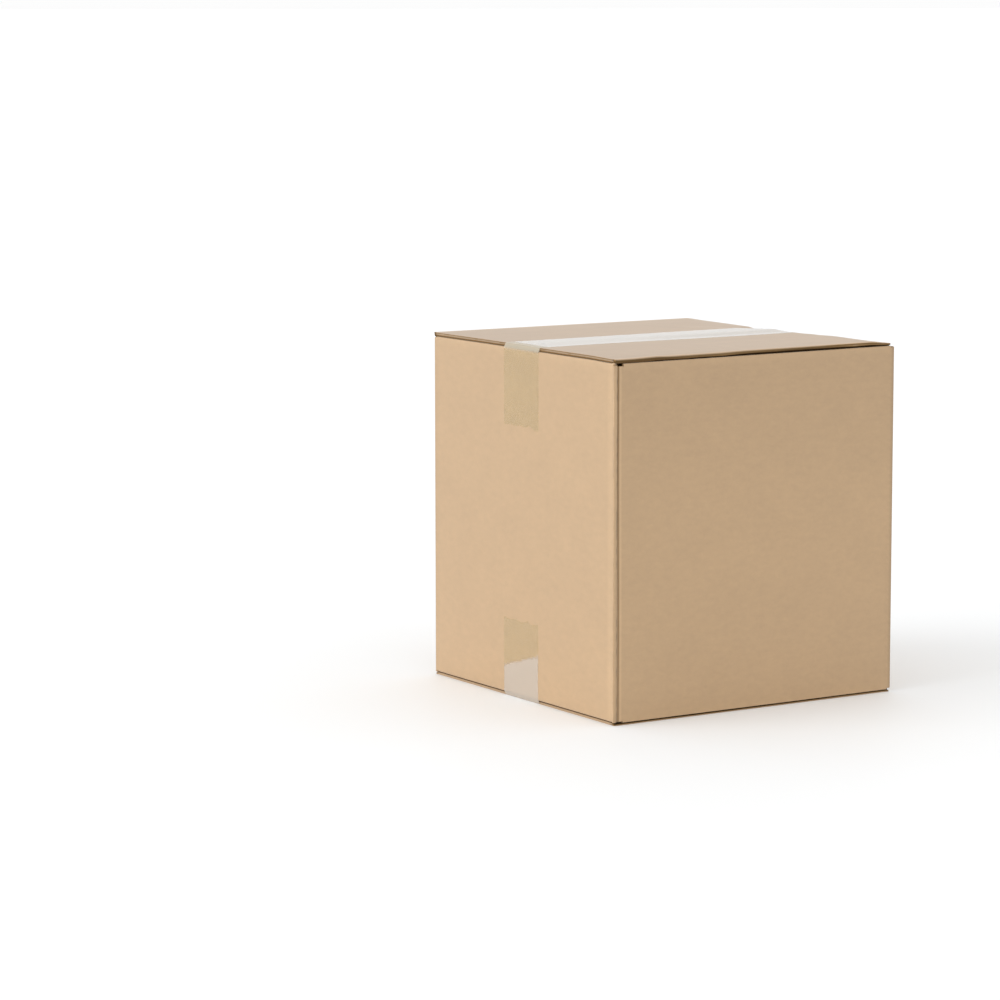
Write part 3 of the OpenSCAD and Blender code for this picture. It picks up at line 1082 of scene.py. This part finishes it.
def tape_material(name, veil_colour, flat_cover, **milky):
    """Clear film: tinted where it is stuck, milky where it stands off the board, and a little milky on
    the top tape's flat stretch, which also paints its reflection of the pale studio.
    """
    n = Nodes(bpy.data.materials.new(name))
    place = n.node("TexCoord").outputs["Object"]
    outer = n.node("Attribute", attribute_name="tone").outputs["Fac"]
    haze, near_end = film_haze(n, place, **milky)
    blotch = n.noise(n.stretched(place, BLOTCH_STRETCH), *BLOTCH_NOISE)
    blotch = n.remap(blotch, 0.3, 0.7, *BLOTCHES)
    tint = n.times_colour(n.mix(haze, FILM_CLEAR, FILM_HAZY), n.joined(blotch, blotch, blotch))
    clear = n.node("BsdfTransparent", {"Color": tint})
    veil_and_reflection = n.node("BsdfDiffuse", {"Color": n.mix(near_end, FLAT_HAZE_AND_REFLECTION, veil_colour)})
    streaks = n.noise(n.stretched(place, STREAK_STRETCH), *STREAK_NOISE)
    streaks = n.remap(streaks, 0.3, 0.7, *STREAKS)
    flat = n.times(n.times(n.minus(1.0, near_end), flat_cover), streaks)
    cover = n.add(n.times(haze, HAZE_COVER), STUCK_COVER, flat)
    body = n.node("MixShader", {0: n.times(cover, outer), 1: clear, 2: veil_and_reflection})
    gloss = n.node("BsdfGlossy", {"Color": (1, 1, 1, 1), "Roughness": FILM_ROUGHNESS})
    facing = n.node("LayerWeight", {"Blend": 0.5}).outputs["Facing"]
    mirror = n.add(n.times(n.math("POWER", facing, GLOSS_POWER), GLOSS_MORE), GLOSS_LEAST)
    mirror = n.times(mirror, n.minus(1.0, n.times(haze, HAZE_DULLS)))
    return n.finish(n.node("MixShader", {0: n.times(mirror, outer), 1: body, 2: gloss}))


# Stage, light and camera

# The floor's half width, in metres like every size here
FLOOR_HALF = 150.0
FLOOR_WHITE = (0.955, 0.97, 0.98, 1)
FLOOR_ROUGHNESS = 0.6
FLOOR_IOR = 1.3

# The way to the side behind the box, and the studio's brightness on that side and in front
BEHIND = (0.53, 0.84, 0)
BEHIND_LEVEL = 0.98
FRONT_LEVEL = 0.95

# The broad lamp: the way to it, its strength and how many degrees it spans
KEY_FROM = (-0.87, 0.2, 0.43)
KEY_ENERGY = 1.0
KEY_ANGLE = 50


def build_floor():
    """A white floor that reaches past the view."""
    half = FLOOR_HALF
    corners = [(-half, -half, 0), (half, -half, 0), (half, half, 0), (-half, half, 0)]
    mesh = bpy.data.meshes.new("floor")
    mesh.from_pydata(corners, [], [(0, 1, 2, 3)])
    n = Nodes(bpy.data.materials.new("floor_white"))
    looks = {"Base Color": FLOOR_WHITE, "Roughness": FLOOR_ROUGHNESS, "IOR": FLOOR_IOR}
    mesh.materials.append(n.finish(n.node("BsdfPrincipled", looks)))
    floor = bpy.data.objects.new("floor", mesh)
    bpy.context.scene.collection.objects.link(floor)


def build_light():
    """A pale studio all round, brighter behind the box, and one broad soft lamp from the left."""
    n = Nodes(bpy.data.worlds.new("studio"))
    way = n.node("TexCoord").outputs["Generated"]
    toward = n.node("VectorMath", {0: way, 1: BEHIND}, operation="DOT_PRODUCT").outputs["Value"]
    level = n.remap(toward, -1, 1, FRONT_LEVEL, BEHIND_LEVEL, smooth_step=True)
    background = n.node("Background", {0: (1, 1, 1, 1), 1: level})
    bpy.context.scene.world = n.finish(background, "OutputWorld")
    key = bpy.data.lights.new("key", "SUN")
    key.energy = KEY_ENERGY
    key.angle = math.radians(KEY_ANGLE)
    lamp = bpy.data.objects.new("key", key)
    lamp.rotation_euler = Vector(KEY_FROM).to_track_quat("Z", "Y").to_euler()
    bpy.context.scene.collection.objects.link(lamp)


def build_camera():
    """The photograph's view of the box."""
    a, e, r = CAMERA_AZIMUTH, CAMERA_ELEVATION, CAMERA_ROLL
    back = Vector((math.sin(a) * math.cos(e), -math.cos(a) * math.cos(e), math.sin(e)))
    level_right = Vector((math.cos(a), math.sin(a), 0))
    level_up = back.cross(level_right)
    right = level_right * math.cos(r) + level_up * math.sin(r)
    turn = Matrix((right, back.cross(right), back)).transposed().to_4x4()
    data = bpy.data.cameras.new("camera")
    data.lens = LENS
    data.sensor_width = SENSOR
    data.clip_end = CAMERA_SEES_TO
    camera = bpy.data.objects.new("camera", data)
    camera.matrix_world = Matrix.Translation(CAMERA_PLACE) @ turn
    bpy.context.scene.collection.objects.link(camera)
    bpy.context.scene.camera = camera


build_camera()
build_floor()
build_light()
bpy.context.scene.view_settings.view_transform = "Standard"

build_carton()
top_film = tape_material("top_tape_film", **TOP_LOOK)
build_tape("top_tape_film", "top_tape", True, top_film, TOP_TAPE_SEED)
bottom_film = tape_material("bottom_tape_film", **BOTTOM_LOOK)
build_tape("bottom_tape_film", "bottom_tape", False, bottom_film, BOTTOM_TAPE_SEED)
